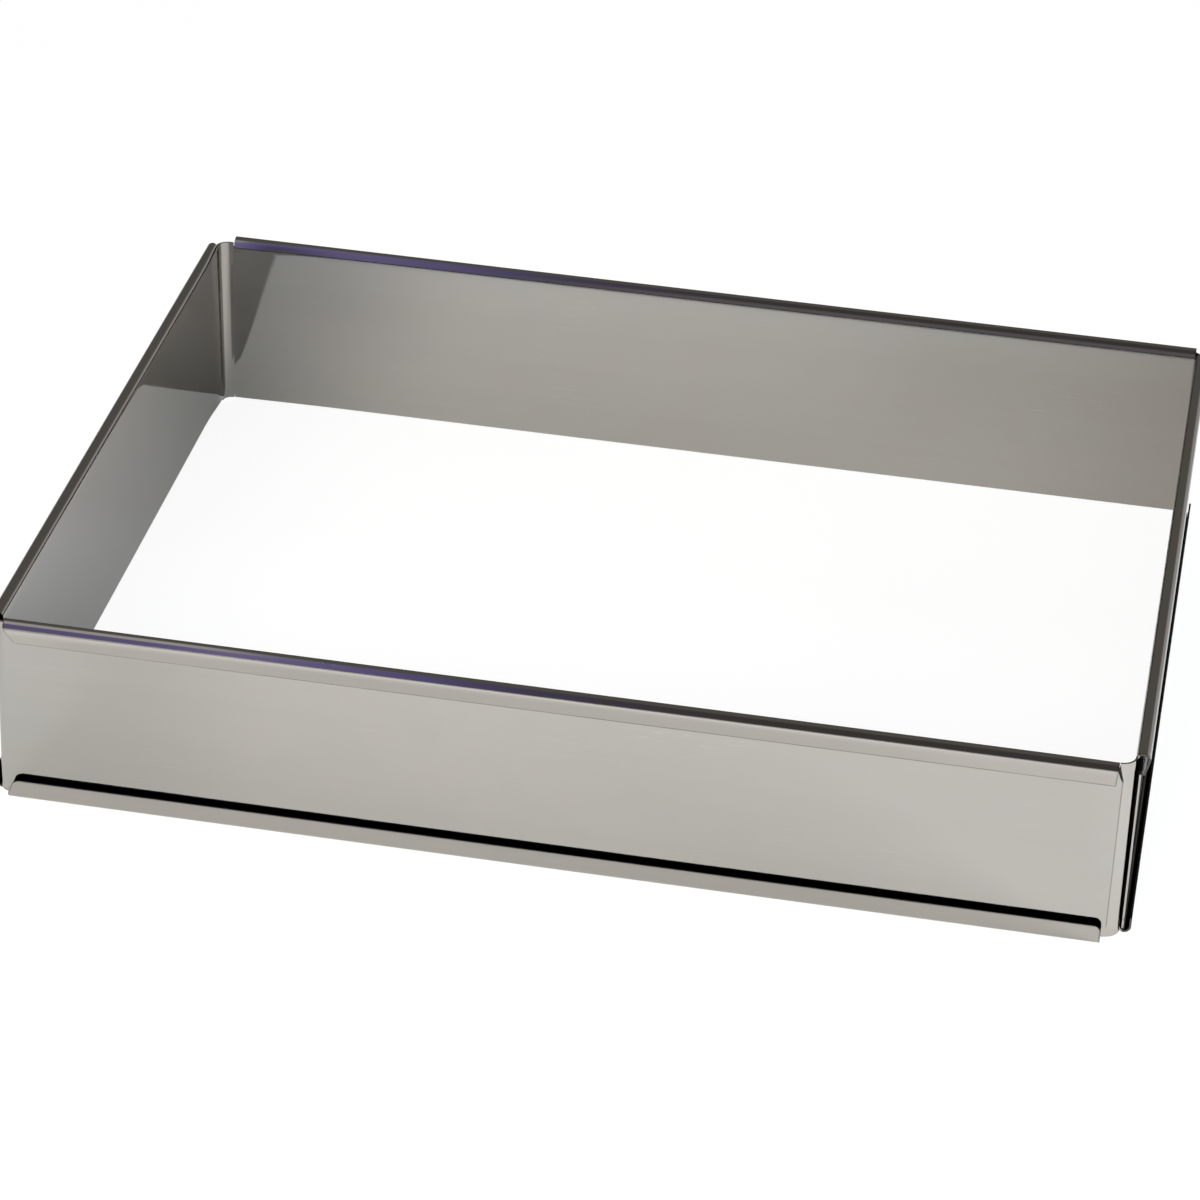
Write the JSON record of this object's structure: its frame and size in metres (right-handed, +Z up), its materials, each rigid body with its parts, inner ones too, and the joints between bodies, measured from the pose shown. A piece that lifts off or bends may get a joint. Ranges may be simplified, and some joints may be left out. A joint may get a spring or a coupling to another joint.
{
  "type": "adjustable cake frame",
  "caption": "Rectangular cake frame of folded stainless sheet with open top and base; plain angles slide in the channels of folded angles to set its length and width.",
  "frame": {"origin": "centre of the closed frame, on the surface it stands on", "axes": "+X along the long walls to the right, +Y along the short walls to the back, +Z up"},
  "size_m": [0.277, 0.215, 0.05],
  "materials": {
    "stainless_sheet": "bright rolled sheet with fine grain"
  },
  "bodies": {
    "back_left": {"channel_angle_back_left": "stainless_sheet"},
    "front_left": {"plate_angle_front_left": "stainless_sheet"},
    "front_right": {"channel_angle_front_right": "stainless_sheet"},
    "back_right": {"plate_angle_back_right": "stainless_sheet"}
  },
  "joints": [
    {"name": "left_slide", "type": "slide", "parent": "back_left", "child": "front_left", "axis": [0, -1, 0], "range_m": [0, 0.175]},
    {"name": "front_slide", "type": "slide", "parent": "front_left", "child": "front_right", "axis": [1, 0, 0], "range_m": [0, 0.235]},
    {"name": "back_slide", "type": "slide", "parent": "back_left", "child": "back_right", "axis": [1, 0, 0], "range_m": [0, 0.235]}
  ],
  "couplings": [
    {"joint": "back_slide", "follows": "front_slide", "ratio": 1}
  ]
}
